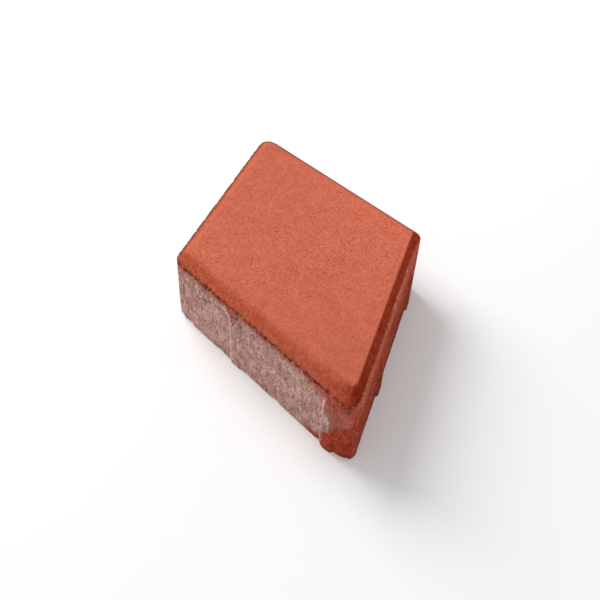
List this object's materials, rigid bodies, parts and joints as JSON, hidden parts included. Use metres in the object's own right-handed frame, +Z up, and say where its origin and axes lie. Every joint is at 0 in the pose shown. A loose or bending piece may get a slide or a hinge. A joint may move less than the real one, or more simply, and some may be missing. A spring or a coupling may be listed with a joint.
{
  "type": "concrete paving stone",
  "caption": "Diamond-shaped cast concrete paving stone with a bevelled upper rim, rounded upright corners and low joint ribs up its sides.",
  "frame": {"origin": "centre of the underside", "axes": "+X from the origin towards a sharp corner, along the long diagonal; +Y towards a blunt corner, along the short diagonal; +Z up through the bevelled upper face"},
  "size_m": [0.313, 0.1874, 0.06],
  "materials": {
    "concrete": "matt pressed concrete coloured brick red through its upper part, with pinkish grey sides"
  },
  "bodies": {
    "root": {"paving_stone": "concrete"}
  },
  "joints": []
}
